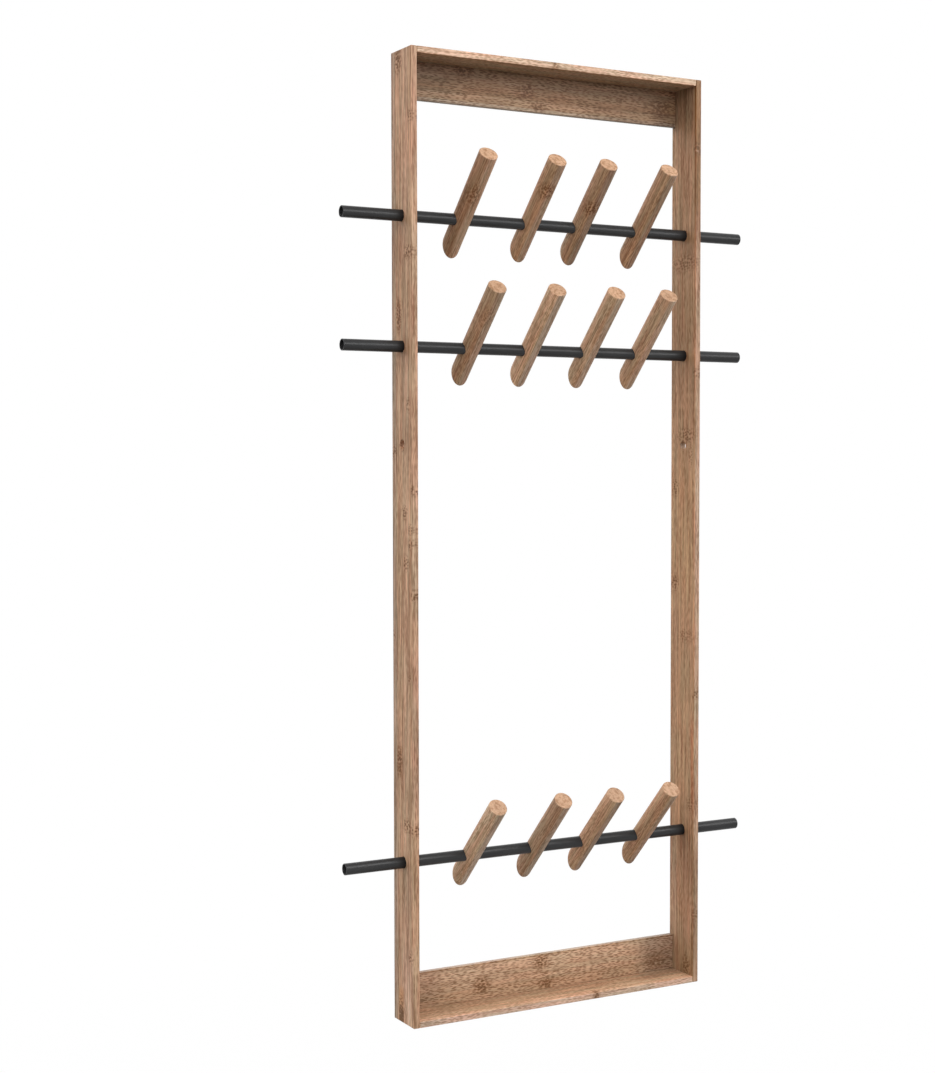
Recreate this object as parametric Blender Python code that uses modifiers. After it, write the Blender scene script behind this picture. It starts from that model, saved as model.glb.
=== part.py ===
"""Wall-hung coat rack: a shallow bamboo frame, three steel tubes through it and twelve leaning pegs.

Lengths are in metres and +Z is up. The wall is the plane Y = 0, the front faces -Y, and the origin
lies on the wall behind the top rail. Inside the rack, heights are measured from its lower edge.
"""

import math

import bpy
from mathutils import Matrix

# Frame of boards
FRAME_WIDTH = 0.530
FRAME_HEIGHT = 1.500
FRAME_DEPTH = 0.070
STILE_THICKNESS = 0.010
BOARD_THICKNESS = 0.010
RAIL_THICKNESS = 0.010
RAIL_HEIGHT = 0.058
BOARD_EASING = 0.0006
ORIGIN_DROP = 0.040

# Small round hole through each stile, below the middle tube and halfway through the depth
STILE_HOLE_DIAMETER = 0.016
STILE_HOLE_DROP = 0.150

# Tubes
TUBE_DIAMETER = 0.018
TUBE_WALL = 0.0015
TUBE_OVERHANG = 0.100
TUBE_SETBACK = 0.035
TUBE_EASING = 0.0003
TOP_TUBE_DROP = 0.251
TUBE_PITCH = 0.199
BOTTOM_TUBE_RISE = 0.253

# Pegs, and their places along each tube from the middle of the rack
PEG_DIAMETER = 0.030
PEG_LEAN = math.radians(45)
PEG_REACH = 0.127
PEG_EASING = 0.0008
PEG_PLACES = {
    "top": (-0.162, -0.041, 0.052, 0.166),
    "middle": (-0.147, -0.041, 0.067, 0.166),
    "bottom": (-0.147, -0.030, 0.067, 0.173),
}

# Blind dowels in the corner joints, and the wood left outside each one in its stile
DOWEL_DIAMETER = 0.006
DOWEL_LENGTH = 0.024
DOWEL_EASING = 0.0006
DOWEL_SKIN = 0.004
BOARD_DOWEL_INSET = 0.018
RAIL_DOWEL_INSET = 0.013

# Keyhole slots in the back of the top rail, which drop over two wall screws
KEYHOLE_INSET = 0.035
KEYHOLE_ENTRY = 0.010
KEYHOLE_ENTRY_SKIN = 0.0025
KEYHOLE_HEAD = 0.009
KEYHOLE_HEAD_SKIN = 0.003
KEYHOLE_NECK = 0.0045
KEYHOLE_LIP = 0.003
KEYHOLE_TRAVEL = 0.012

# Clearances between fixed pieces and between sliding ones
SEAT_GAP = 0.0003
RUN_GAP = 0.0003

# Facets of the round pieces, and the angles that set their shading and their eased edges
TUBE_SIDES = 48
PEG_SIDES = 40
DOWEL_SIDES = 12
DOWEL_BORE_SIDES = 16
STILE_HOLE_SIDES = 32
KEYHOLE_SIDES = 16
SMOOTH_ANGLE = math.radians(30)
EASED_ANGLE = math.radians(40)

# Places worked out from the sizes above
INNER_HALF = FRAME_WIDTH / 2 - STILE_THICKNESS
BOARD_LENGTH = 2 * (INNER_HALF - SEAT_GAP)
RAIL_OFFSET = BOARD_THICKNESS + SEAT_GAP + RAIL_HEIGHT / 2
BOARD_HEIGHTS = {"top": FRAME_HEIGHT - BOARD_THICKNESS / 2, "bottom": BOARD_THICKNESS / 2}
RAIL_HEIGHTS = {"top": FRAME_HEIGHT - RAIL_OFFSET, "bottom": RAIL_OFFSET}
TUBE_BORE = TUBE_DIAMETER + 2 * RUN_GAP
TUBE_LENGTH = FRAME_WIDTH + 2 * TUBE_OVERHANG
TUBE_HEIGHTS = {
    "top": FRAME_HEIGHT - TOP_TUBE_DROP,
    "middle": FRAME_HEIGHT - TOP_TUBE_DROP - TUBE_PITCH,
    "bottom": BOTTOM_TUBE_RISE,
}
SIDES = {"left": -1, "right": 1}
TURN_FROM_Z = {
    "X": Matrix.Rotation(math.pi / 2, 4, "Y"),
    "Y": Matrix.Rotation(math.pi / 2, 4, "X"),
    "Z": Matrix.Identity(4),
}


def clear_scene():
    for obj in list(bpy.data.objects):
        bpy.data.objects.remove(obj)


def new_collection(name, inside):
    collection = bpy.data.collections.new(name)
    inside.children.link(collection)
    return collection


def new_material(name, colour, roughness, metallic=0.0):
    material = bpy.data.materials.new(name)
    material.use_nodes = True
    shader = material.node_tree.nodes["Principled BSDF"]
    shader.inputs["Base Color"].default_value = (*colour, 1.0)
    shader.inputs["Roughness"].default_value = roughness
    shader.inputs["Metallic"].default_value = metallic
    return material


def place(obj, name, centre, home):
    """Names an object, moves it to its collection and hangs it on the rack's empty."""
    obj.name = name
    obj.data.name = name
    for collection in list(obj.users_collection):
        collection.objects.unlink(obj)
    home.objects.link(obj)
    obj.parent = rack
    obj.location = centre
    return obj


def block(name, size, centre, home):
    bpy.ops.mesh.primitive_cube_add(size=1)
    obj = bpy.context.object
    obj.data.transform(Matrix.Diagonal((*size, 1)))
    return place(obj, name, centre, home)


def rod(name, diameter, length, along, centre, sides, home):
    bpy.ops.mesh.primitive_cylinder_add(vertices=sides, radius=diameter / 2, depth=length)
    obj = bpy.context.object
    obj.data.transform(TURN_FROM_Z[along])
    obj.data.shade_smooth()
    obj.data.set_sharp_from_angle(angle=SMOOTH_ANGLE)
    return place(obj, name, centre, home)


def slot(name, width, length, centre, travel):
    """A cutter along Y with round ends: a rod whose upper half is drawn up by the slot's travel."""
    obj = rod(name, width, length, "Y", centre, KEYHOLE_SIDES, cutters)
    obj.data.transform(Matrix.Rotation(math.pi / KEYHOLE_SIDES, 4, "Y"))
    for vertex in obj.data.vertices:
        if vertex.co.z > 0:
            vertex.co.z += travel
    return obj


def ease(piece, width):
    """Takes the sharpness off a piece's edges."""
    bevel = piece.modifiers.new("eased edges", "BEVEL")
    bevel.width = width
    bevel.segments = 1
    bevel.limit_method = "ANGLE"
    bevel.angle_limit = EASED_ANGLE


def cut(piece, cutter):
    """Adds a cutter to the piece's own set, which one Boolean takes away together."""
    cutter.hide_render = True
    cutter.display_type = "WIRE"
    set_name = f"{piece.name}_cutters"
    if set_name not in bpy.data.collections:
        boolean = piece.modifiers.new("cuts", "BOOLEAN")
        boolean.operation = "DIFFERENCE"
        boolean.solver = "EXACT"
        boolean.operand_type = "COLLECTION"
        boolean.collection = new_collection(set_name, cutters)
    bpy.data.collections[set_name].objects.link(cutter)


def make_stile(side):
    """A full-height side board, with a bore for each tube and one small hole."""
    x = SIDES[side] * (FRAME_WIDTH - STILE_THICKNESS) / 2
    middle = (x, -FRAME_DEPTH / 2, FRAME_HEIGHT / 2)
    stile = block(f"{side}_stile", (STILE_THICKNESS, FRAME_DEPTH, FRAME_HEIGHT), middle, parts)
    stile.data.materials.append(stile_bamboo)
    ease(stile, BOARD_EASING)
    through = 2 * STILE_THICKNESS
    for row, height in TUBE_HEIGHTS.items():
        spot = (x, -TUBE_SETBACK, height)
        cut(stile, rod(f"{side}_{row}_tube_bore", TUBE_BORE, through, "X", spot, TUBE_SIDES, cutters))
    spot = (x, -FRAME_DEPTH / 2, TUBE_HEIGHTS["middle"] - STILE_HOLE_DROP)
    hole = rod(f"{side}_stile_hole", STILE_HOLE_DIAMETER, through, "X", spot, STILE_HOLE_SIDES, cutters)
    cut(stile, hole)
    return stile


def make_board(end):
    """A full-depth board across the top or bottom, butted between the stiles."""
    middle = (0, -FRAME_DEPTH / 2, BOARD_HEIGHTS[end])
    board = block(f"{end}_board", (BOARD_LENGTH, FRAME_DEPTH, BOARD_THICKNESS), middle, parts)
    board.data.materials.append(board_bamboo)
    ease(board, BOARD_EASING)
    return board


def make_rail(end):
    """A narrow board on edge against the wall, under the top board or on the bottom one."""
    middle = (0, -RAIL_THICKNESS / 2, RAIL_HEIGHTS[end])
    rail = block(f"{end}_back_rail", (BOARD_LENGTH, RAIL_THICKNESS, RAIL_HEIGHT), middle, parts)
    rail.data.materials.append(rail_bamboo)
    ease(rail, BOARD_EASING)
    return rail


def cut_keyhole(rail, side):
    """A round entry from the wall side, a narrow neck above it, and a wider slot in front of the neck."""
    x = SIDES[side] * (INNER_HALF - KEYHOLE_INSET)
    z = RAIL_HEIGHTS["top"] - KEYHOLE_TRAVEL / 2
    at_wall = (x, 0, z)
    entry = 2 * (RAIL_THICKNESS - KEYHOLE_ENTRY_SKIN)
    cut(rail, rod(f"{side}_keyhole_entry", KEYHOLE_ENTRY, entry, "Y", at_wall, KEYHOLE_SIDES, cutters))
    head_depth = RAIL_THICKNESS - KEYHOLE_HEAD_SKIN
    behind_lip = (x, -(KEYHOLE_LIP + head_depth) / 2, z)
    neck = KEYHOLE_LIP + head_depth
    cut(rail, slot(f"{side}_keyhole_neck", KEYHOLE_NECK, neck, at_wall, KEYHOLE_TRAVEL))
    head = head_depth - KEYHOLE_LIP
    cut(rail, slot(f"{side}_keyhole_head", KEYHOLE_HEAD, head, behind_lip, KEYHOLE_TRAVEL))


def board_dowel_spots(end):
    """Where the dowels of a board's ends lie, front and back."""
    z = BOARD_HEIGHTS[end]
    return {"front": (BOARD_DOWEL_INSET - FRAME_DEPTH, z), "back": (-BOARD_DOWEL_INSET, z)}


def rail_dowel_spots(end):
    """Where the dowels of a rail's ends lie, one above the other."""
    y = -RAIL_THICKNESS / 2
    rise = RAIL_HEIGHT / 2 - RAIL_DOWEL_INSET
    return {"upper": (y, RAIL_HEIGHTS[end] + rise), "lower": (y, RAIL_HEIGHTS[end] - rise)}


def join_with_dowels(board, label, spots):
    """Blind dowels at both ends of a board, each in one bore that runs from the board into its stile."""
    bore_diameter = DOWEL_DIAMETER + 2 * SEAT_GAP
    bore_length = DOWEL_LENGTH + 2 * SEAT_GAP
    for side, sign in SIDES.items():
        x = sign * (FRAME_WIDTH / 2 - DOWEL_SKIN - bore_length / 2)
        for spot, (y, z) in spots.items():
            name = f"{label}_dowel_{side}_{spot}"
            middle = (x, y, z)
            dowel = rod(name, DOWEL_DIAMETER, DOWEL_LENGTH, "X", middle, DOWEL_SIDES, parts)
            dowel.data.materials.append(dowel_wood)
            ease(dowel, DOWEL_EASING)
            bore = rod(f"{name}_bore", bore_diameter, bore_length, "X", middle, DOWEL_BORE_SIDES, cutters)
            cut(board, bore)
            cut(stiles[side], bore)


def make_tube(row):
    """An open steel tube that runs through both stiles and stands out at either side."""
    middle = (0, -TUBE_SETBACK, TUBE_HEIGHTS[row])
    tube = rod(f"tube_{row}", TUBE_DIAMETER, TUBE_LENGTH, "X", middle, TUBE_SIDES, parts)
    tube.data.materials.append(tube_steel)
    ease(tube, TUBE_EASING)
    inside = TUBE_DIAMETER - 2 * TUBE_WALL
    cut(tube, rod(f"tube_{row}_inside", inside, 2 * TUBE_LENGTH, "X", middle, TUBE_SIDES, cutters))
    return tube


def make_peg_mesh():
    """A leaning rod about its tube's axis, cut flush with the wall and bored across for the tube."""
    on_tube = (0, -TUBE_SETBACK, 0)
    tail = (TUBE_SETBACK + PEG_DIAMETER) / math.sin(PEG_LEAN)
    blank = rod("peg_blank", PEG_DIAMETER, PEG_REACH + tail, "Z", on_tube, PEG_SIDES, cutters)
    blank.data.transform(Matrix.Translation((0, 0, (PEG_REACH - tail) / 2)))
    blank.rotation_euler.x = PEG_LEAN
    ease(blank, PEG_EASING)
    wall = block("peg_wall_cut", (2 * PEG_DIAMETER, 2 * tail, 4 * tail), (0, tail, 0), cutters)
    cut(blank, wall)
    cut(blank, rod("peg_tube_bore", TUBE_BORE, 2 * PEG_DIAMETER, "X", on_tube, TUBE_SIDES, cutters))
    graph = bpy.context.evaluated_depsgraph_get()
    mesh = bpy.data.meshes.new_from_object(blank.evaluated_get(graph))
    bpy.data.objects.remove(blank)
    mesh.name = "peg"
    mesh.shade_smooth()
    mesh.set_sharp_from_angle(angle=SMOOTH_ANGLE)
    mesh.materials.append(peg_bamboo)
    return mesh


def hang_pegs(tube, row):
    """The pegs of one tube, numbered from the left. They turn with the tube and slide along it."""
    for number, x in enumerate(PEG_PLACES[row], start=1):
        peg = bpy.data.objects.new(f"peg_{row}_{number}", peg_mesh)
        parts.objects.link(peg)
        peg.parent = tube
        peg.location.x = x
        peg.rotation_euler.x = PEG_LEAN


clear_scene()
parts = new_collection("coat_rack", bpy.context.scene.collection)
cutters = new_collection("coat_rack_cutters", bpy.context.scene.collection)
rack = bpy.data.objects.new("rack_lower_edge", None)
rack.location.z = ORIGIN_DROP - FRAME_HEIGHT
parts.objects.link(rack)

stile_bamboo = new_material("stile_bamboo", (0.45, 0.28, 0.18), 0.55)
board_bamboo = new_material("board_bamboo", (0.50, 0.32, 0.21), 0.55)
rail_bamboo = new_material("rail_bamboo", (0.44, 0.26, 0.16), 0.55)
peg_bamboo = new_material("peg_bamboo", (0.46, 0.27, 0.16), 0.60)
tube_steel = new_material("tube_steel", (0.035, 0.036, 0.038), 0.45)
dowel_wood = new_material("dowel_wood", (0.58, 0.40, 0.24), 0.70)

stiles = {side: make_stile(side) for side in SIDES}
for end in ("top", "bottom"):
    board = make_board(end)
    join_with_dowels(board, f"{end}_board", board_dowel_spots(end))
    rail = make_rail(end)
    join_with_dowels(rail, f"{end}_rail", rail_dowel_spots(end))
    if end == "top":
        for side in SIDES:
            cut_keyhole(rail, side)

peg_mesh = make_peg_mesh()
for row in TUBE_HEIGHTS:
    hang_pegs(make_tube(row), row)
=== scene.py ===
import math

import bpy
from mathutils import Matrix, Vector


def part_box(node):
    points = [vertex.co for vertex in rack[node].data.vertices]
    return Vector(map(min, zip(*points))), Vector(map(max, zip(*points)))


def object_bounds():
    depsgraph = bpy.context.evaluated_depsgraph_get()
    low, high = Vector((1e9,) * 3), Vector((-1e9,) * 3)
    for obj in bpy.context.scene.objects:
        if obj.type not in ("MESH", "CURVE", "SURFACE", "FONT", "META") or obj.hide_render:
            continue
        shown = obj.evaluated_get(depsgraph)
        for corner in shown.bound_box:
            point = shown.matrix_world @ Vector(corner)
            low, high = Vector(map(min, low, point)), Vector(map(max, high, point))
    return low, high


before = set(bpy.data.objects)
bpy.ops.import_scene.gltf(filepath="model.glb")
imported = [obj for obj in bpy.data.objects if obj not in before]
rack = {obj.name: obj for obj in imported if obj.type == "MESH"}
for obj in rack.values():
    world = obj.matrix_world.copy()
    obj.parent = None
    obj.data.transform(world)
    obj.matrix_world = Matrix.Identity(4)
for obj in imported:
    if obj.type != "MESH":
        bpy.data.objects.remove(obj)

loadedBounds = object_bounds()
print("coat rack: frame loaded with", len(rack), "pieces")


# small helpers for shader nodes: a socket is linked, anything else is set as a value
def feed(tree, socket, value):
    if isinstance(value, bpy.types.NodeSocket):
        tree.links.new(value, socket)
    else:
        socket.default_value = value


def sums(tree, operation, *values):
    node = tree.nodes.new("ShaderNodeMath")
    node.operation = operation
    for socket, value in zip(node.inputs, values):
        feed(tree, socket, value)
    return node.outputs[0]


def vectors(tree, operation, *values):
    node = tree.nodes.new("ShaderNodeVectorMath")
    node.operation = operation
    for socket, value in zip(node.inputs, values):
        feed(tree, socket, value)
    return node.outputs["Value" if operation in ("LENGTH", "DOT_PRODUCT") else "Vector"]


def scaled(tree, vector, factor):
    node = tree.nodes.new("ShaderNodeVectorMath")
    node.operation = "SCALE"
    feed(tree, node.inputs["Vector"], vector)
    feed(tree, node.inputs["Scale"], factor)
    return node.outputs["Vector"]


def ramp(tree, value, low, high, first=0.0, last=1.0):
    node = tree.nodes.new("ShaderNodeMapRange")
    for socket, given in zip(node.inputs, (value, low, high, first, last)):
        feed(tree, socket, given)
    return node.outputs["Result"]


def mixed(tree, factor, first, second, blend="MIX"):
    node = tree.nodes.new("ShaderNodeMix")
    node.data_type = "RGBA"
    node.blend_type = blend
    feed(tree, node.inputs[0], factor)
    for socket, colour in ((node.inputs[6], first), (node.inputs[7], second)):  # the node's colour sockets
        feed(tree, socket, colour if isinstance(colour, bpy.types.NodeSocket) else (*colour, 1.0))
    return node.outputs[2]


def joined(tree, parts):
    node = tree.nodes.new("ShaderNodeCombineXYZ")
    for socket, part in zip(node.inputs, parts):
        feed(tree, socket, part)
    return node.outputs[0]


def parted(tree, vector):
    node = tree.nodes.new("ShaderNodeSeparateXYZ")
    feed(tree, node.inputs[0], vector)
    return node.outputs


def stretched(tree, place, length, width):
    return vectors(tree, "MULTIPLY", place, (1 / length, 1 / width, 1 / width))


def noise(tree, place, detail=2.0, output="Fac"):
    node = tree.nodes.new("ShaderNodeTexNoise")
    feed(tree, node.inputs["Vector"], place)
    node.inputs["Scale"].default_value = 1.0
    node.inputs["Detail"].default_value = detail
    return node.outputs[output]


def cells(tree, place, dimensions="3D"):
    node = tree.nodes.new("ShaderNodeTexVoronoi")
    node.voronoi_dimensions = dimensions
    feed(tree, node.inputs["Vector"], place)
    node.inputs["Scale"].default_value = 1.0
    return node.outputs["Distance"]


def bumped(tree, shader, height, look):
    bump = tree.nodes.new("ShaderNodeBump")
    bump.inputs["Strength"].default_value = look["bump"]
    bump.inputs["Distance"].default_value = look["bumpHeight"]
    feed(tree, bump.inputs["Height"], height)
    feed(tree, shader.inputs["Normal"], bump.outputs["Normal"])


def newFinish(name):
    material = bpy.data.materials.new(name)
    material.use_nodes = True
    tree = material.node_tree
    return material, tree, tree.nodes["Principled BSDF"]


def dress(material, *names):
    for name in names:
        mesh = rack[name].data
        mesh.materials.clear()
        mesh.materials.append(material)


def shaded(colour, factor):
    return tuple(part * share for part, share in zip(colour, factor))


noiseMiddle = (0.35, 0.65)  # most of a noise lies between these
noiseSpan = (0.3, 0.7)
noiseCentre = (0.5, 0.5, 0.5)
plainFibre = 0.5  # fibres run from 0, darkest, through the plain tone to 1, palest
perMetre = 1000  # strips, patches and knots are given in millimetres
seedSteps = (0.37, 0.23, 0.11)  # metres the wood moves on from one seed to the next

# laminated bamboo: strips side by side, fibres along them, short dashes, knots where the cane had a joint
bambooLook = {
    "tone": (0.46, 0.28, 0.175),
    "dark": (0.62, 0.55, 0.48),  # darkest and palest fibres, as shares of the tone
    "pale": (1.32, 1.36, 1.42),
    "fibre": (0.070, 0.0024),  # length and width of one streak, metres
    "hair": (0.035, 0.0012),
    "fibreShare": 0.6,
    "hairShare": 0.4,
    "streaks": 1.3,
    "dash": (0.010, 0.0019),  # length and width of the cells that hold one short dash each
    "dashReach": (0.12, 0.55),
    "dashDepth": (-0.75, 0.2),
    "dashes": 0.6,
    "edgeDashes": 0.4,
    "crowd": (0.06, 0.010),  # how far the places reach where dashes crowd together
    "crowdShares": (0.4, 1.2),
    "round": 0.0,  # radius of a rod, so that its dashes lie round it
    "cloud": (0.16, 0.014),
    "cloudContrast": 0.10,
    "blush": (0.07, 0.008),
    "blushTones": ((1.06, 0.97, 0.94), (0.95, 1.01, 0.98)),
    "strips": (),
    "stripBlend": 0.0004,  # how softly one strip runs into the next
    "seamWidth": 0.0007,
    "seamShade": 0.16,
    "patches": (),
    "patchEnds": (1.0, 0.5),  # a patch fades over these shares of its half length and half width
    "patchSides": (1.0, 0.8),
    "knots": (),
    "knotFade": (1.5, 0.5),
    "knotWash": (0.78, 0.63, 0.49),  # a brown wash under crowded specks
    "knotSpeck": (0.28, 0.18, 0.095),
    "wash": 0.7,
    "speck": (0.0060, 0.0042),
    "speckReach": (0.27, 0.57),
    "fleck": 0.3,  # pale fibres between the specks of a knot
    "fleckReach": (0.55, 0.85),
    "sway": (0.010, 0.007),  # a knot's outline wanders: over what length and width, and how far
    "wobble": 0.008,
    "edgeTurn": (0.75, 0.9),  # how squarely a face has to look across the strips to be a long edge
    "edges": 1.0,
    "edgeTone": (1.0, 1.0, 1.0),
    "endTurn": (0.6, 0.8),
    "endTone": (1.06, 1.06, 1.06),
    "endLength": 0.03,
    "endDot": 0.0019,
    "endDotReach": (0.1, 0.5),
    "endDotTone": (0.70, 0.66, 0.62),
    "endBlot": 0.0050,
    "endBlotReach": (0.48, 0.62),
    "endBlotTone": (0.66, 0.57, 0.49),
    "roughness": (0.66, 0.50),
    "specular": 0.25,
    "bump": 0.22,
    "bumpHeight": 0.0004,
}


# long streaks with finer hairs, and short dashes on the face laid flat, pick dark or pale fibre
def pickFibre(tree, look, grain, flat, edge):
    fibres = noise(tree, stretched(tree, grain, *look["fibre"]), 2.0)
    hairs = noise(tree, stretched(tree, grain, *look["hair"]), 1.0)
    fibrePart = sums(tree, "MULTIPLY", fibres, look["fibreShare"])
    hairPart = sums(tree, "MULTIPLY", hairs, look["hairShare"])
    streak = ramp(tree, sums(tree, "ADD", fibrePart, hairPart), *noiseMiddle, -0.5, 0.5)
    fromDash = cells(tree, stretched(tree, flat, *look["dash"]), "2D")
    dash = ramp(tree, fromDash, *look["dashReach"], *look["dashDepth"])
    crowdNoise = noise(tree, stretched(tree, grain, *look["crowd"]), 1.0)
    crowd = ramp(tree, crowdNoise, *noiseMiddle, *look["crowdShares"])
    faceShare = ramp(tree, edge, 0.0, 1.0, look["dashes"], look["edgeDashes"])
    dashShare = sums(tree, "MULTIPLY", crowd, faceShare)
    fibre = sums(tree, "MULTIPLY_ADD", streak, look["streaks"], plainFibre)
    return sums(tree, "MULTIPLY_ADD", dash, dashShare, fibre)


def fibreColour(tree, look, grain, fibre):
    dark = shaded(look["tone"], look["dark"])
    pale = shaded(look["tone"], look["pale"])
    colour = mixed(tree, ramp(tree, fibre, 0.0, plainFibre), dark, look["tone"])
    colour = mixed(tree, ramp(tree, fibre, plainFibre, 1.0), colour, pale)
    blush = ramp(tree, noise(tree, stretched(tree, grain, *look["blush"]), 1.0), *noiseMiddle)
    return mixed(tree, 1.0, colour, mixed(tree, blush, *look["blushTones"]), "MULTIPLY")


# strips: each has its own tone up to a distance across, with a fine seam between
def withStrips(tree, look, colour, tone, acrossHere):
    strips = look["strips"]
    if not strips:
        return colour, tone
    stripTone = strips[0][1]
    for (reach, _), (_, nextTone) in zip(strips, strips[1:]):
        seamPlace = reach / perMetre
        beyond = ramp(tree, acrossHere, seamPlace - look["stripBlend"], seamPlace + look["stripBlend"])
        stripTone = mixed(tree, beyond, stripTone, nextTone)
        offSeam = sums(tree, "ABSOLUTE", sums(tree, "SUBTRACT", acrossHere, seamPlace))
        seam = ramp(tree, offSeam, 0.0, look["seamWidth"], 1 - look["seamShade"], 1.0)
        tone = sums(tree, "MULTIPLY", tone, seam)
    return mixed(tree, 1.0, colour, stripTone, "MULTIPLY"), tone


# how far a place is from a spot, in half lengths and half widths of the spot
def fromSpot(tree, place, spotAlong, spotAcross, halfLength, halfWidth):
    size = (perMetre / halfLength, perMetre / halfWidth, 0.0)
    shift = (-spotAlong / halfLength, -spotAcross / halfWidth, 0.0)
    return vectors(tree, "MULTIPLY_ADD", place, size, shift)


# patches, some the cane's own darker or paler tone, many painted shade and light where pieces meet and under
# the tubes; given by along, across, half length, half width and tone
def withPatches(tree, look, colour, board):
    for *spot, patchTone in look["patches"]:
        away = parted(tree, vectors(tree, "ABSOLUTE", fromSpot(tree, board, *spot)))
        inLength = ramp(tree, away[0], *look["patchEnds"])
        inWidth = ramp(tree, away[1], *look["patchSides"])
        colour = mixed(tree, sums(tree, "MULTIPLY", inLength, inWidth), colour, patchTone, "MULTIPLY")
    return colour


# knots: along, across, half length, half width and strength
def withKnots(tree, look, colour, board, grain, flat):
    if not look["knots"]:
        return colour
    sway = noise(tree, stretched(tree, grain, *look["sway"]), 2.0, "Color")
    sway = scaled(tree, vectors(tree, "SUBTRACT", sway, noiseCentre), look["wobble"])
    swayed = vectors(tree, "ADD", board, sway)
    spread = 0.0
    for *spot, strength in look["knots"]:
        away = vectors(tree, "LENGTH", fromSpot(tree, swayed, *spot))
        spread = sums(tree, "MAXIMUM", spread, ramp(tree, away, *look["knotFade"], 0.0, strength))
    fromSpeck = cells(tree, stretched(tree, flat, *look["speck"]), "2D")
    fleck = ramp(tree, fromSpeck, *look["fleckReach"], 0.0, look["fleck"])
    speck = ramp(tree, fromSpeck, *look["speckReach"], 1.0, 0.0)
    washShare = sums(tree, "MULTIPLY", spread, look["wash"])
    fleckShare = sums(tree, "MULTIPLY", spread, fleck)
    speckShare = sums(tree, "MULTIPLY", spread, speck)
    colour = mixed(tree, washShare, colour, look["knotWash"], "MULTIPLY")
    colour = mixed(tree, fleckShare, colour, shaded(look["tone"], look["pale"]))
    return mixed(tree, speckShare, colour, shaded(look["tone"], look["knotSpeck"]))


# cut ends show dots and blots instead of fibres
def endGrain(tree, look, grain):
    pale = shaded(look["tone"], look["endTone"])
    dots = cells(tree, stretched(tree, grain, look["endLength"], look["endDot"]))
    blots = noise(tree, stretched(tree, grain, look["endLength"], look["endBlot"]), 3.0)
    colour = mixed(tree, ramp(tree, dots, *look["endDotReach"]), shaded(pale, look["endDotTone"]), pale)
    return mixed(tree, ramp(tree, blots, *look["endBlotReach"]), colour, shaded(pale, look["endBlotTone"]))


def bamboo(name, changes, lay, seed):
    look = {**bambooLook, **changes}
    material, tree, shader = newFinish(name)
    along = Vector(lay["along"])
    across = Vector(lay["across"])
    axes = (along, across, along.cross(across))

    # place in the piece: along the fibres, across the strips, through the thickness
    coords = tree.nodes.new("ShaderNodeTexCoord")
    place = vectors(tree, "SUBTRACT", coords.outputs["Object"], tuple(lay["start"]))
    board = joined(tree, [vectors(tree, "DOT_PRODUCT", place, tuple(axis)) for axis in axes])
    alongHere, acrossHere, throughHere = parted(tree, board)
    seedShift = [step * seed for step in seedSteps]
    grain = vectors(tree, "ADD", board, seedShift)

    # the same place laid flat, or rolled out from a rod, for dashes and specks
    if look["round"]:
        turn = sums(tree, "ARCTAN2", acrossHere, throughHere)
        rowPlace = sums(tree, "MULTIPLY", turn, look["round"])
    else:
        rowPlace = sums(tree, "ADD", acrossHere, throughHere)
    flat = joined(tree, (alongHere, rowPlace, 0.0))
    flat = vectors(tree, "ADD", flat, (seedShift[0], seedShift[1], 0.0))

    # faces: long edges and cut ends differ from the broad faces
    facing = coords.outputs["Normal"]
    edge = sums(tree, "ABSOLUTE", vectors(tree, "DOT_PRODUCT", facing, tuple(across)))
    edge = ramp(tree, edge, *look["edgeTurn"], 0.0, look["edges"])
    end = sums(tree, "ABSOLUTE", vectors(tree, "DOT_PRODUCT", facing, tuple(along)))
    end = ramp(tree, end, *look["endTurn"])

    fibre = pickFibre(tree, look, grain, flat, edge)
    colour = fibreColour(tree, look, grain, fibre)
    cloud = noise(tree, stretched(tree, grain, *look["cloud"]), 2.0)
    tone = ramp(tree, cloud, *noiseSpan, 1 - look["cloudContrast"], 1 + look["cloudContrast"])
    colour, tone = withStrips(tree, look, colour, tone, acrossHere)
    colour = scaled(tree, colour, tone)
    colour = withPatches(tree, look, colour, board)
    colour = withKnots(tree, look, colour, board, grain, flat)
    colour = mixed(tree, edge, colour, look["edgeTone"], "MULTIPLY")
    colour = mixed(tree, end, colour, scaled(tree, endGrain(tree, look, grain), tone))
    feed(tree, shader.inputs["Base Color"], colour)
    feed(tree, shader.inputs["Roughness"], ramp(tree, fibre, 0.0, 1.0, *look["roughness"]))
    shader.inputs["Specular IOR Level"].default_value = look["specular"]
    bumped(tree, shader, sums(tree, "MULTIPLY", fibre, tone), look)
    return material


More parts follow.
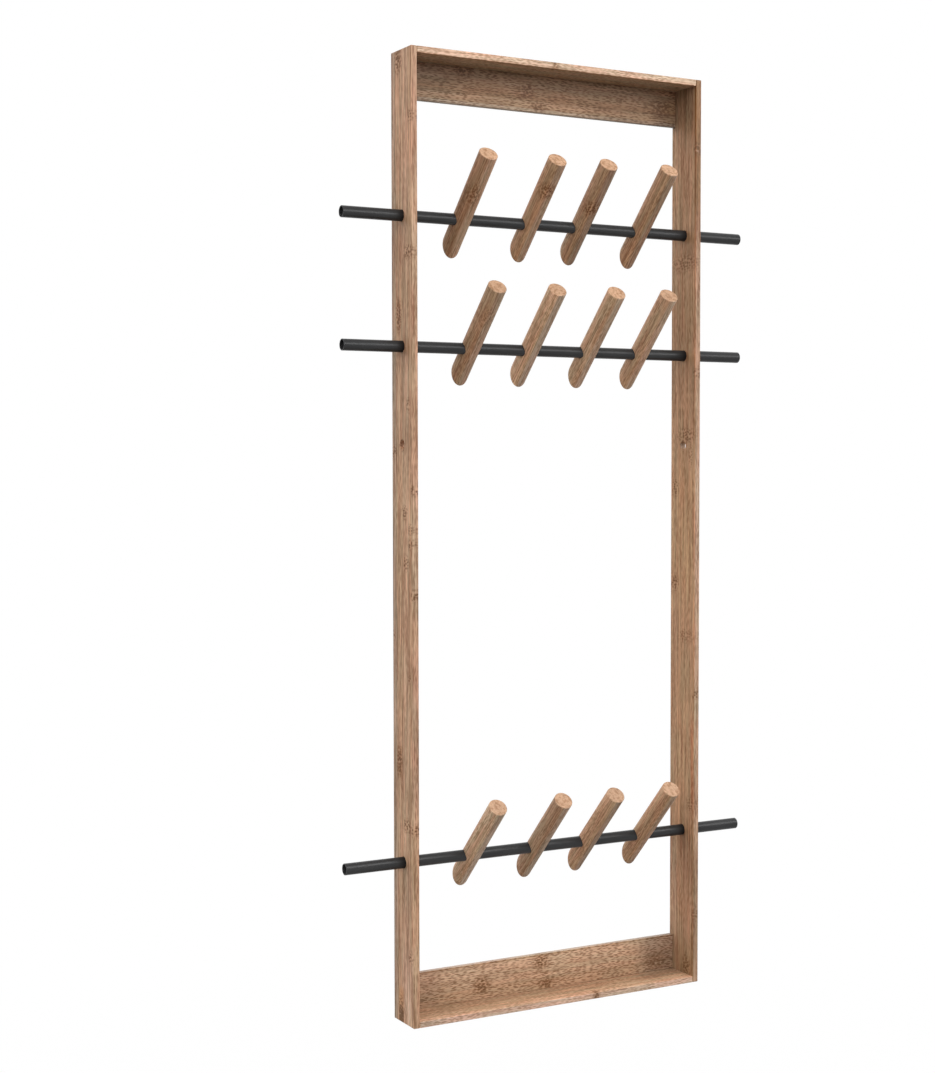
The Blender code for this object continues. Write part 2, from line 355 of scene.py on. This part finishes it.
# stiles: fibres upright, strips and knots measured from the lower end and from the wall side
stileFinish = {
    "fibre": (0.110, 0.0028),
    "hair": (0.045, 0.0015),
    "dark": (0.56, 0.49, 0.42),
    "dash": (0.014, 0.0019),
    "dashes": 0.55,
    "edgeDashes": 0.6,
    "wash": 0.4,
    "speck": (0.0045, 0.0060),
    "speckReach": (0.20, 0.48),
    "fleck": 0.6,
}
leftStile = {
    "tone": (0.473, 0.290, 0.181),
    "streaks": 1.35,
    "edgeTone": (0.96, 0.96, 1.0),
    "knots": [
        (24, 25, 19, 9, 0.8), (410, 22, 22, 8, 1.0), (1097, 24, 22, 9, 1.0), (1485, 24, 17, 11, 1.0),
        (312, 49, 10, 12, 0.9), (718, 47, 11, 9, 0.9), (795, 43, 10, 9, 0.9), (748, 63, 8, 8, 0.9),
        (770, 63, 8, 8, 0.8), (540, 58, 8, 5, 0.8), (1192, 58, 10, 13, 1.0), (890, 7, 10, 8, 0.9),
        (1395, 65, 8, 7, 0.9), (605, 4, 8, 5, 0.8), (108, 60, 10, 7, 0.9), (960, 57, 10, 6, 0.8),
        (308, 70, 8, 8, 0.9), (670, 71, 9, 6, 0.9), (830, 71, 9, 6, 0.9),
        (899, 35, 8, 8, 1.0),  # round the small hole
    ],
    "patches": [
        (1150, 30, 90, 39, (0.94, 0.89, 0.85)), (1390, 30, 110, 39, (1.09, 1.04, 1.03)),
        (760, 30, 145, 39, (1.13, 1.14, 1.14)), (170, 30, 75, 39, (0.96, 0.95, 0.96)),
        (450, 71, 160, 6, (0.94, 0.93, 0.98)), (1375, 71, 110, 6, (0.93, 0.86, 0.87)),
        (8, 25, 20, 9, (0.34, 0.25, 0.11)), (36, 25, 24, 10, (1.0, 0.86, 0.68)),
        (60, 48, 70, 22, (1.08, 1.13, 1.24)), (755, 71, 140, 6, (1.03, 1.08, 1.14)),
        (408, 22, 30, 8, (0.72, 0.61, 0.45)), (1097, 24, 32, 8, (0.69, 0.58, 0.44)),
    ],
    "strips": [
        (6, (0.70, 0.76, 0.83)), (14, (0.80, 0.86, 0.92)), (36, (0.97, 0.95, 0.92)),
        (57, (1.03, 1.05, 1.07)), (70, (1.03, 1.01, 0.97)),
    ],
}
rightStile = {
    "tone": (0.43, 0.250, 0.139),
    "streaks": 0.90,
    "edgeTone": (0.945, 1.135, 1.44),
    "knots": [
        (300, 60, 12, 10, 0.6), (582, 46, 10, 22, 0.5), (886, 58, 20, 6, 0.5), (670, 12, 13, 10, 0.8),
        (830, 13, 14, 9, 0.8), (917, 44, 12, 22, 0.75), (1203, 38, 13, 36, 0.65), (1388, 71, 9, 6, 0.8),
        (24, 50, 16, 10, 0.8), (115, 71, 9, 6, 0.7), (485, 71, 9, 6, 0.7), (1020, 71, 9, 6, 0.7),
    ],
    # many of these patches are painted shade: under the top board, near the bottom board, at both ends of
    # the front edge and below the lowest tube
    "patches": [
        (1400, 71, 190, 6, (0.61, 0.49, 0.33)), (120, 71, 150, 6, (0.68, 0.70, 0.65)),
        (755, 71, 140, 6, (1.04, 1.08, 1.13)), (755, 30, 145, 39, (1.13, 1.13, 1.10)),
        (1400, 30, 110, 39, (0.93, 0.91, 0.90)), (130, 30, 130, 39, (0.97, 0.93, 0.96)),
        (1475, 30, 60, 37, (0.82, 0.92, 1.02)), (1385, 14, 60, 12, (1.17, 1.19, 1.22)),
        (1108, 35, 65, 39, (0.85, 0.83, 0.79)), (20, 30, 90, 34, (0.81, 0.86, 0.88)),
        (165, 8, 100, 13, (1.10, 1.18, 1.26)), (150, 44, 100, 11, (0.87, 0.86, 0.84)),
        (450, 71, 170, 6, (1.0, 1.05, 1.07)), (480, 30, 140, 39, (0.95, 0.95, 0.95)),
        (236, 36, 24, 12, (0.82, 0.76, 0.72)), (365, 65, 95, 4, (1.0, 0.77, 0.68)),
    ],
    "strips": [
        (21, (1.0, 1.02, 1.06)), (44, (0.97, 0.96, 0.95)), (66.5, (1.0, 1.0, 1.0)), (70, (1.08, 0.97, 0.91)),
    ],
}
for stile, own, seed in (("left_stile", leftStile, 1.0), ("right_stile", rightStile, 2.0)):
    low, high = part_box(stile)
    lay = {"along": (0, 0, 1), "across": (0, -1, 0), "start": (low.x, high.y, low.z)}
    dress(bamboo(stile + " bamboo", {**stileFinish, **own}, lay, seed), stile)
print("coat rack: stiles finished")


# boards: fibres from side to side, measured from the left and from the wall side, paler along the front
boardFinish = {
    "dark": (0.58, 0.50, 0.44),
    "pale": (1.34, 1.40, 1.48),
    "streaks": 0.6,
    "dash": (0.009, 0.0018),
    "dashes": 0.9,
    "edgeDashes": 0.7,
}
topBoard = {
    "tone": (0.50, 0.335, 0.206),
    "edgeTone": (1.17, 1.31, 1.57),
    "knots": [(241, 68, 6, 8, 0.8)],
    "strips": [
        (30, (0.93, 0.99, 1.03)), (46, (0.92, 1.0, 1.07)), (60, (1.10, 1.12, 1.15)), (70, (1.11, 1.0, 0.95)),
    ],
}
bottomBoard = {
    # partly painted light: paler than the top board's tone, for its upward face
    "tone": (0.60, 0.380, 0.233),
    "edgeTone": (0.76, 0.835, 0.955),
    "knots": [(320, 68, 6, 8, 0.9)],
    # painted shade: darker towards the wall at the right end, and at the left end
    "patches": [(490, 18, 80, 29, (0.76, 0.77, 0.78)), (30, 52, 80, 22, (0.91, 0.91, 0.92))],
    # painted shade and light: the strips darken the board towards the wall and lighten it towards the front
    "strips": [
        (29, (0.855, 0.865, 0.88)), (46, (1.0, 1.0, 1.0)),
        (59.5, (1.09, 1.09, 1.11)), (70, (1.27, 1.26, 1.33)),
    ],
}
for board, own, seed in (("top_board", topBoard, 3.0), ("bottom_board", bottomBoard, 4.0)):
    low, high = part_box(board)
    lay = {"along": (1, 0, 0), "across": (0, -1, 0), "start": (low.x, high.y, low.z)}
    dress(bamboo(board + " bamboo", {**boardFinish, **own}, lay, seed), board)
print("coat rack: boards finished")


# back rails: bolder dashes on the face, measured from the left and from the upper edge down
railFinish = {
    "dark": (0.50, 0.42, 0.36),
    "pale": (1.42, 1.50, 1.60),
    "streaks": 0.55,
    "dash": (0.0105, 0.0021),
    "dashReach": (0.10, 0.45),
    "dashDepth": (-0.75, 0.12),
    "dashes": 1.15,
    "fibre": (0.070, 0.0018),
    "hair": (0.024, 0.0013),
    "blushTones": ((1.04, 0.98, 0.95), (0.96, 1.0, 0.98)),
    "cloudContrast": 0.05,
    "speck": (0.0052, 0.0036),
    "speckReach": (0.28, 0.56),
}
topRail = {
    # partly painted shade: darker than the bottom rail's tone, under the top board
    "tone": (0.350, 0.217, 0.133),
    "edgeTone": (1.21, 1.35, 1.51),
    "knots": [(111, 6, 14, 10, 0.8), (222, 27, 14, 12, 0.8), (245, 50, 12, 8, 0.8), (478, 30, 16, 14, 0.8)],
    # mostly painted shade at both ends, where the rail meets the stiles
    "patches": [
        (30, 48, 90, 13, (0.88, 0.92, 0.94)), (30, 26, 90, 7, (0.74, 0.76, 0.74)),
        (20, 8, 80, 13, (0.92, 0.92, 0.96)), (405, 48, 90, 13, (0.88, 0.86, 0.83)),
        (505, 48, 50, 13, (0.65, 0.65, 0.67)), (505, 22, 50, 14, (0.86, 0.88, 0.88)),
        (255, 56, 80, 4, (1.02, 1.08, 1.07)),
    ],
    # painted shade: the strips darken the rail from just below its top to its middle, under the top board,
    # and lighten its lower edge
    "strips": [
        (11, (1.05, 1.02, 0.96)), (20, (0.91, 0.85, 0.77)), (31, (0.84, 0.75, 0.63)),
        (41, (0.76, 0.66, 0.53)), (53, (1.02, 0.99, 0.91)), (58, (1.10, 1.21, 1.35)),
    ],
}
bottomRail = {
    "tone": (0.420, 0.268, 0.166),
    "edgeTone": (1.33, 1.66, 2.23),
    "knots": [
        (251, 12, 14, 12, 0.8), (140, 35, 14, 12, 0.8), (260, 51, 14, 9, 0.8), (472, 41, 17, 13, 0.6),
        (12, 36, 14, 13, 0.7),
    ],
    # painted shade at both ends, where the rail meets the stiles, with a paler middle
    "patches": [
        (25, 29, 50, 34, (0.85, 0.85, 0.86)), (260, 29, 100, 34, (1.05, 1.06, 1.06)),
        (500, 29, 70, 34, (0.68, 0.69, 0.72)),
    ],
    # painted light and shade: the strips make the rail paler in its upper part and darker towards the bottom
    # board
    "strips": [
        (2.5, (0.93, 0.86, 0.79)), (19, (1.27, 1.29, 1.36)),
        (39, (1.09, 1.08, 1.10)), (58, (0.95, 0.92, 0.89)),
    ],
}
for rail, own, seed in (("top_back_rail", topRail, 5.0), ("bottom_back_rail", bottomRail, 6.0)):
    low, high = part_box(rail)
    lay = {"along": (1, 0, 0), "across": (0, 0, -1), "start": (low.x, low.y, high.z)}
    dress(bamboo(rail + " bamboo", {**railFinish, **own}, lay, seed), rail)
print("coat rack: back rails finished")


# pegs: rods that lean out at 45 degrees, fibres along the rod, measured from the tube and the rod's middle
pegFinish = {
    "tone": (0.485, 0.289, 0.177),
    "dark": (0.60, 0.53, 0.47),
    "pale": (1.30, 1.35, 1.42),
    "streaks": 0.95,
    "dash": (0.012, 0.0016),
    "dashes": 0.65,
    "round": 0.015,
    "fibre": (0.100, 0.0020),
    "hair": (0.040, 0.0013),
    "cloudContrast": 0.07,
    "knotWash": (0.93, 0.76, 0.60),
    "wash": 0.6,
    "speck": (0.0050, 0.0036),
    "speckReach": (0.24, 0.52),
    "fleck": 0.6,
    "stripBlend": 0.0018,
    "seamShade": 0.05,
    "edges": 0.0,
    "endTone": (1.34, 1.39, 1.42),
}
pegSideLight = {  # how far each side of a rod reaches across, and its painted light and shade: the far-left rim darker, the front paler and greyer
    "rimReach": -10.5,
    "rimShade": (0.86, 0.87, 0.90),
    "leftReach": -4,
    "leftLitTone": (0.95, 0.91, 0.83),
    "frontReach": 15,
    "frontLitTone": (1.04, 1.10, 1.17),
}
pegToneAndLight = {  # how pale the left, the front and the end of each rod are, and how grey: partly each rod's own tone, partly painted light and shade on its sides
    "peg_top_1": (0.86, 1.07, 0.97, 0.03), "peg_top_2": (1.15, 0.92, 1.01, 0.05),
    "peg_top_3": (1.02, 0.68, 0.99, 0.08), "peg_top_4": (1.10, 0.83, 0.98, 0.05),
    "peg_middle_1": (1.08, 1.01, 0.88, 0.12), "peg_middle_2": (1.62, 1.02, 0.91, 0.25),
    "peg_middle_3": (1.42, 1.16, 0.97, 0.19), "peg_middle_4": (1.22, 1.24, 0.91, 0.15),
    "peg_bottom_1": (1.54, 1.19, 0.90, 0.36), "peg_bottom_2": (1.03, 1.06, 0.92, 0.23),
    "peg_bottom_3": (1.36, 0.86, 0.83, 0.16), "peg_bottom_4": (1.24, 1.02, 0.93, 0.10),
}
pegKnots = {
    "peg_top_1": [(57, -4, 18, 9, 0.75)],
    "peg_top_2": [(76, -3, 13, 11, 0.9)],
    "peg_top_3": [(50, -2, 13, 12, 0.95)],
    "peg_middle_1": [(78, -3, 18, 10, 0.45)],
}
rowSeeds = {"top": 10.0, "middle": 15.0, "bottom": 20.0}
lean = math.sqrt(0.5)
for row, rowSeed in rowSeeds.items():
    tubeLow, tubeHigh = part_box("tube_" + row)
    tubeCentre = (tubeLow + tubeHigh) / 2
    for number in (1, 2, 3, 4):
        peg = f"peg_{row}_{number}"
        low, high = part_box(peg)
        start = ((low.x + high.x) / 2, tubeCentre.y, tubeCentre.z)
        lay = {"along": (0, -lean, lean), "across": (1, 0, 0), "start": start}
        # painted light and shade: the left side, the front and the far-left rim of each rod get their own
        # tones
        left, front, end, grey = pegToneAndLight[peg]
        greyed = (1.0, 1.0 + grey / 2, 1.0 + grey)
        leftLitTone = shaded(shaded(pegSideLight["leftLitTone"], (left, left, left)), greyed)
        frontLitTone = shaded(shaded(pegSideLight["frontLitTone"], (front, front, front)), greyed)
        rimShade = shaded(leftLitTone, pegSideLight["rimShade"])
        finish = {
            **pegFinish,
            "endTone": shaded(pegFinish["endTone"], (end, end, end)),
            "knots": pegKnots.get(peg, ()),
            "strips": [
                (pegSideLight["rimReach"], rimShade), (pegSideLight["leftReach"], leftLitTone),
                (pegSideLight["frontReach"], frontLitTone),
            ],
        }
        dress(bamboo(peg + " bamboo", finish, lay, rowSeed + number), peg)
print("coat rack: pegs finished")


# tubes: charcoal powder coat with a fine orange peel
tubeFinish = {
    "deep": (0.028, 0.0285, 0.0295),
    "worn": (0.042, 0.0425, 0.0435),
    "peelSize": 0.0016,
    "fleckSize": 0.0005,
    "driftSize": (0.06, 0.02),
    "roughness": (0.28, 0.34),
    "specular": 0.16,
    "bump": 0.15,
    "bumpHeight": 0.0002,
    "stileMiddle": 0.260,
    "contactShadeReach": (0.007, 0.018),  # painted shade: the coat is darkened where it goes into the stiles
    "contactShade": 0.35,
}


def powderCoat(name, look):
    material, tree, shader = newFinish(name)
    place = tree.nodes.new("ShaderNodeTexCoord").outputs["Object"]
    peel = noise(tree, stretched(tree, place, look["peelSize"], look["peelSize"]), 2.0)
    fleck = noise(tree, stretched(tree, place, look["fleckSize"], look["fleckSize"]), 1.0)
    drift = noise(tree, stretched(tree, place, *look["driftSize"]), 2.0)
    blend = sums(tree, "MULTIPLY", sums(tree, "ADD", fleck, drift), 0.5)
    coat = mixed(tree, ramp(tree, blend, *noiseMiddle), look["deep"], look["worn"])
    # painted shade: the coat darkens close to each stile, where the tube goes into the wood
    fromMiddle = sums(tree, "ABSOLUTE", parted(tree, place)[0])
    fromStile = sums(tree, "ABSOLUTE", sums(tree, "SUBTRACT", fromMiddle, look["stileMiddle"]))
    coat = scaled(tree, coat, ramp(tree, fromStile, *look["contactShadeReach"], look["contactShade"], 1.0))
    feed(tree, shader.inputs["Base Color"], coat)
    feed(tree, shader.inputs["Roughness"], ramp(tree, drift, *noiseSpan, *look["roughness"]))
    shader.inputs["Specular IOR Level"].default_value = look["specular"]
    bumped(tree, shader, peel, look)
    return material


dress(powderCoat("charcoal powder coat", tubeFinish), "tube_top", "tube_middle", "tube_bottom")
print("coat rack: tubes finished")


# dowels: plain pale hardwood, fibres along the pin
dowelFinish = {
    "tone": (0.58, 0.40, 0.24),
    "dark": (0.80, 0.76, 0.72),
    "pale": (1.12, 1.14, 1.16),
    "fibre": (0.012, 0.0008),
    "hair": (0.006, 0.0004),
    "dashes": 0.0,
}
dowelSeed = 31.0
dowelLay = {"along": (1, 0, 0), "across": (0, 1, 0), "start": (0.0, 0.0, 0.0)}
dowels = [name for name in rack if "dowel" in name]
dress(bamboo("dowel wood", dowelFinish, dowelLay, dowelSeed), *dowels)
print("coat rack:", len(dowels), "dowels finished")


# round faces shade smoothly, sharp corners stay crisp
sharpAngle = math.radians(32)
weldReach = 0.00001
for piece in rack.values():
    mesh = piece.data
    mesh.polygons.foreach_set("use_smooth", [True] * len(mesh.polygons))
    weld = piece.modifiers.new("weld", "WELD")
    weld.merge_threshold = weldReach
    crisp = piece.modifiers.new("crisp edges", "EDGE_SPLIT")
    crisp.split_angle = sharpAngle
print("coat rack: shading set")


# studio: pale floor below the hung rack, white all round, a soft band of light round it, lamps in front
studio = {
    "floorDrop": 0.55,
    "floorSize": 60.0,
    "floorColour": (0.86, 0.86, 0.86),
    "floorRoughness": 0.9,
    "floorBounce": (0.155, 0.155, 0.155),
    "shadowShare": 0.22,
    "shadowReach": (1.2, 2.4),  # metres from the rack where the floor's own shading fades to white
    "skyBand": [(0.0, 0.60), (0.25, 1.85), (0.5, 2.30), (0.75, 0.75), (1.0, 0.05)],  # height, strength
}
keyLamp = {
    "place": (0.0, -2.1, 0.62),
    "aim": (0.0, 0.0, -0.75),
    "size": (1.0, 0.9),
    "power": 11.0,
    "glossOnly": False,
}
glossCard = {  # wide and soft, to the right, seen only in the gloss of the tubes
    "place": (1.35, -1.90, 0.30),
    "aim": (1.35, 0.0, -0.40),
    "size": (2.4, 0.9),
    "power": 37.0,
    "glossOnly": True,
}
lowGlossCard = {  # a small one for the lowest tube
    "place": (0.42, -0.50, -0.65),
    "aim": (0.42, -0.20, -1.60),
    "size": (1.2, 0.3),
    "power": 3.4,
    "glossOnly": True,
}


def raysThatShow(tree):
    path = tree.nodes.new("ShaderNodeLightPath")
    seen = sums(tree, "MAXIMUM", path.outputs["Is Camera Ray"], path.outputs["Is Glossy Ray"])
    return sums(tree, "MAXIMUM", seen, path.outputs["Is Transmission Ray"])


def blended(tree, factor, first, second):
    node = tree.nodes.new("ShaderNodeMixShader")
    for socket, value in zip(node.inputs, (factor, first, second)):
        feed(tree, socket, value)
    return node.outputs[0]


def softLamp(name, look):
    lamp = bpy.data.lights.new(name, "AREA")
    lamp.shape = "RECTANGLE"
    lamp.size, lamp.size_y = look["size"]
    lamp.energy = look["power"]
    holder = bpy.data.objects.new(name, lamp)
    bpy.context.scene.collection.objects.link(holder)
    holder.location = look["place"]
    holder.rotation_euler = (Vector(look["aim"]) - Vector(look["place"])).to_track_quat("-Z", "Y").to_euler()
    holder.visible_camera = False
    holder.visible_diffuse = not look["glossOnly"]


white = (1.0, 1.0, 1.0, 1.0)
world = bpy.data.worlds.new("studio")
world.use_nodes = True
bpy.context.scene.world = world
sky = world.node_tree
softSky = sky.nodes["Background"]
softSky.inputs["Color"].default_value = white
whiteSky = sky.nodes.new("ShaderNodeBackground")
whiteSky.inputs["Color"].default_value = white
skyHeight = parted(sky, sky.nodes.new("ShaderNodeTexCoord").outputs["Generated"])[2]
band = studio["skyBand"]
skyStrength = band[0][1]
for (fromHeight, fromStrength), (toHeight, toStrength) in zip(band, band[1:]):
    step = ramp(sky, skyHeight, fromHeight, toHeight, 0.0, toStrength - fromStrength)
    skyStrength = sums(sky, "ADD", skyStrength, step)
feed(sky, softSky.inputs["Strength"], skyStrength)
skySurface = blended(sky, raysThatShow(sky), softSky.outputs[0], whiteSky.outputs[0])
feed(sky, sky.nodes["World Output"].inputs["Surface"], skySurface)

floorHeight = loadedBounds[0].z - studio["floorDrop"]
bpy.ops.mesh.primitive_plane_add(size=studio["floorSize"], location=(0, 0, floorHeight))
floor = bpy.context.object
floor.name = "floor"
floorMaterial, floorTree, floorShader = newFinish("pale floor")
floorShader.inputs["Base Color"].default_value = (*studio["floorColour"], 1.0)
floorShader.inputs["Roughness"].default_value = studio["floorRoughness"]
floorWhite = floorTree.nodes.new("ShaderNodeEmission")
floorWhite.inputs["Strength"].default_value = 1.0
floorBounce = floorTree.nodes.new("ShaderNodeBsdfDiffuse")
floorBounce.inputs["Color"].default_value = (*studio["floorBounce"], 1.0)
floorCoords = floorTree.nodes.new("ShaderNodeTexCoord")
fromRack = vectors(floorTree, "LENGTH", floorCoords.outputs["Object"])
share = ramp(floorTree, fromRack, *studio["shadowReach"], studio["shadowShare"], 0.0)
floorSeen = blended(floorTree, share, floorWhite.outputs[0], floorShader.outputs[0])
floorSurface = blended(floorTree, raysThatShow(floorTree), floorBounce.outputs[0], floorSeen)
feed(floorTree, floorTree.nodes["Material Output"].inputs["Surface"], floorSurface)
floor.data.materials.append(floorMaterial)

softLamp("key lamp", keyLamp)
softLamp("gloss card", glossCard)
softLamp("low gloss card", lowGlossCard)
print("coat rack: studio lit")


# camera where the photograph was taken from
photoCamera = {
    "place": (-1.50897, -2.62135, -0.58238),
    "turn": (87.25, 0.0, -29.91),
    "lens": 62.49,
    "shift": (-0.0675, 0.0114),
}
cameraData = bpy.data.cameras.new("photo camera")
cameraData.lens = photoCamera["lens"]
cameraData.shift_x, cameraData.shift_y = photoCamera["shift"]
camera = bpy.data.objects.new("photo camera", cameraData)
bpy.context.scene.collection.objects.link(camera)
camera.location = photoCamera["place"]
camera.rotation_euler = [math.radians(angle) for angle in photoCamera["turn"]]
bpy.context.scene.camera = camera
bpy.context.scene.view_settings.view_transform = "Standard"
print("coat rack: camera set")
